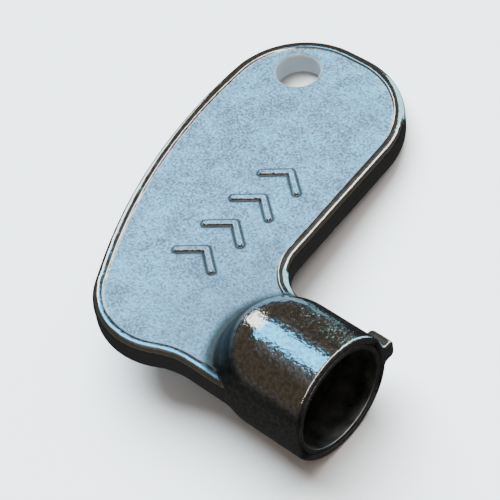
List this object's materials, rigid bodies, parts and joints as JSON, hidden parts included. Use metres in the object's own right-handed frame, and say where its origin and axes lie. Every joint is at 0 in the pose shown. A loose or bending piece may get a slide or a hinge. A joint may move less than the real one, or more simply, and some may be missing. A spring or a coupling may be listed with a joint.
{
  "type": "radiator bleed key",
  "caption": "Flat bean-shaped metal key with a ring hole and a round-ended barrel whose deep round mouth leads to a 5 mm square socket.",
  "frame": {"origin": "centre of the barrel's mouth, on the barrel's axis", "axes": "+X out of the mouth along the barrel, +Y towards the bow's ring-hole end, +Z out of the bow's patterned face"},
  "size_m": [0.0266, 0.0313, 0.0094],
  "materials": {
    "plated_zinc": "nickel plated zinc, polished barrel and fine sand-grain bow",
    "plated_steel": "bright drawn tube",
    "hardened_steel": "oiled dark steel"
  },
  "bodies": {
    "root": {"key_casting": "plated_zinc", "socket_liner": "plated_steel", "square_drive_bush": "hardened_steel"}
  },
  "joints": []
}
